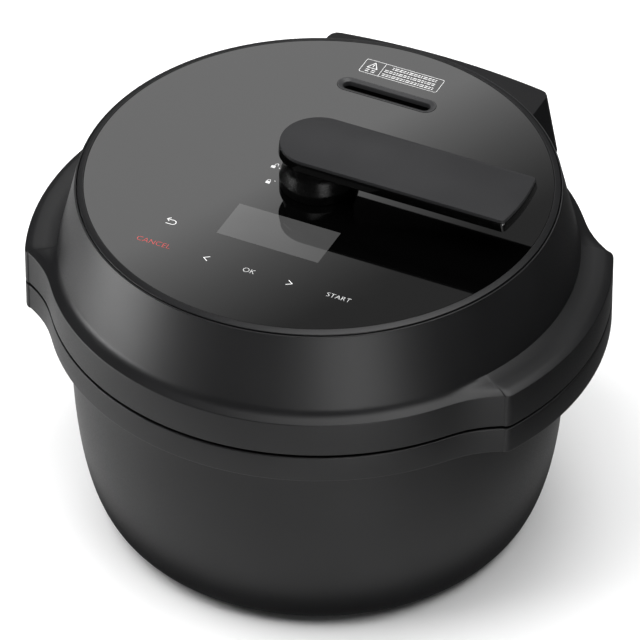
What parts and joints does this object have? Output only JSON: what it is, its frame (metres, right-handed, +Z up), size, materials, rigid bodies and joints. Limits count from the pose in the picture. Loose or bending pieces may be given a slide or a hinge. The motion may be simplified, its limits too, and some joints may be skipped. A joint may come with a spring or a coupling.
{
  "type": "electric pressure cooker",
  "caption": "Round countertop electric pressure cooker with a hinged lid, touch glass top, turning lock handle and removable pot.",
  "frame": {"origin": "centre of the footprint box on the table surface", "axes": "+Z up; -Y is the front with the touch keys; +X runs from grip to grip, towards the handle's end; the pot's axis stands a little in front of the origin"},
  "size_m": [0.367, 0.3552, 0.2748],
  "materials": {
    "anti_block_shield": "plain",
    "base_cover": "fine moulded texture",
    "base_screw_1": "plain",
    "base_screw_2": "plain",
    "base_screw_3": "plain",
    "base_screw_4": "plain",
    "body_rim": "fine moulded texture",
    "display_module": "polished",
    "drive_plate": "plain",
    "exhaust_pipe": "plain",
    "float_pin": "plain",
    "foot_1": "moulded",
    "foot_2": "moulded",
    "foot_3": "moulded",
    "foot_4": "moulded",
    "glass_panel": "back-printed black glass",
    "handle_arm": "polished",
    "handle_cover": "satin",
    "handle_hub": "polished",
    "handle_screw": "plain",
    "heating_element": "plain",
    "heating_plate": "cast or spun",
    "hinge_bracket_left": "plain",
    "hinge_bracket_right": "plain",
    "hinge_housing": "fine moulded texture",
    "hinge_pin_left": "plain",
    "hinge_pin_right": "plain",
    "hinge_spring_left": "plain",
    "hinge_spring_right": "plain",
    "inlet_pin_1": "plain",
    "inlet_pin_2": "plain",
    "inlet_pin_3": "plain",
    "inner_lid": "plain",
    "inner_lid_knob": "fine moulded texture",
    "inner_liner": "cast or spun",
    "inner_pot": "plain",
    "lid_base_ring": "fine moulded texture",
    "lid_frame": "fine moulded texture",
    "lid_shell": "fine moulded texture",
    "lock_ring": "plain",
    "lug_ring": "plain",
    "outer_shell": "fine moulded texture",
    "power_board": "printed circuit board",
    "power_inlet": "fine moulded texture",
    "pressure_lid": "plain",
    "rear_cover": "fine moulded texture",
    "relay": "fine moulded texture",
    "seal_ring": "silicone",
    "sensor_bracket": "plain",
    "sensor_spring": "plain",
    "spindle": "plain",
    "spindle_bush": "plain",
    "steam_weight": "plain",
    "temperature_sensor": "cast or spun",
    "top_bezel": "satin",
    "touch_board": "printed circuit board",
    "transformer": "plain",
    "vent_duct": "fine moulded texture",
    "vent_frame": "fine moulded texture",
    "vent_solenoid": "plain"
  },
  "bodies": {
    "root": {"base_cover": "base_cover", "base_screw_1": "base_screw_1", "base_screw_2": "base_screw_2", "base_screw_3": "base_screw_3", "base_screw_4": "base_screw_4", "body_rim": "body_rim", "foot_1": "foot_1", "foot_2": "foot_2", "foot_3": "foot_3", "foot_4": "foot_4", "heating_element": "heating_element", "heating_plate": "heating_plate", "hinge_housing": "hinge_housing", "hinge_pin_left": "hinge_pin_left", "hinge_pin_right": "hinge_pin_right", "hinge_spring_left": "hinge_spring_left", "hinge_spring_right": "hinge_spring_right", "inlet_pin_1": "inlet_pin_1", "inlet_pin_2": "inlet_pin_2", "inlet_pin_3": "inlet_pin_3", "inner_liner": "inner_liner", "inner_pot": "inner_pot", "lug_ring": "lug_ring", "outer_shell": "outer_shell", "power_board": "power_board", "power_inlet": "power_inlet", "relay": "relay", "sensor_bracket": "sensor_bracket", "sensor_spring": "sensor_spring", "transformer": "transformer"},
    "lid": {"lid_shell": "lid_shell", "rear_cover": "rear_cover", "top_bezel": "top_bezel", "glass_panel": "glass_panel", "vent_frame": "vent_frame", "vent_duct": "vent_duct", "display_module": "display_module", "touch_board": "touch_board", "lid_base_ring": "lid_base_ring", "lid_frame": "lid_frame", "spindle_bush": "spindle_bush", "vent_solenoid": "vent_solenoid", "pressure_lid": "pressure_lid", "seal_ring": "seal_ring", "inner_lid": "inner_lid", "inner_lid_knob": "inner_lid_knob", "exhaust_pipe": "exhaust_pipe", "anti_block_shield": "anti_block_shield", "hinge_bracket_left": "hinge_bracket_left", "hinge_bracket_right": "hinge_bracket_right"},
    "lock": {"handle_arm": "handle_arm", "handle_cover": "handle_cover", "handle_hub": "handle_hub", "handle_screw": "handle_screw", "spindle": "spindle", "drive_plate": "drive_plate", "lock_ring": "lock_ring"},
    "steam_valve": {"steam_weight": "steam_weight"},
    "float": {"float_pin": "float_pin"},
    "sensor": {"temperature_sensor": "temperature_sensor"}
  },
  "joints": [
    {"name": "lid_hinge", "type": "hinge", "parent": "root", "child": "lid", "pos_m": [0, 0.1647, 0.171], "axis": [-1, 0, 0], "range_deg": [0, 80]},
    {"name": "lock_turn", "type": "hinge", "parent": "lid", "child": "lock", "pos_m": [0, -0.0078, 0.243], "axis": [0, 0, 1], "range_deg": [0, 25]},
    {"name": "steam_lift", "type": "slide", "parent": "lid", "child": "steam_valve", "axis": [0, 0, 1], "range_m": [0, 0.003]},
    {"name": "float_lift", "type": "slide", "parent": "lid", "child": "float", "axis": [0, 0, 1], "range_m": [0, 0.0026]},
    {"name": "sensor_press", "type": "slide", "parent": "root", "child": "sensor", "axis": [0, 0, 1], "range_m": [-0.002, 0], "stiffness_N_per_m": 400, "springref_m": 0.001, "deforming": ["sensor_spring"]}
  ]
}
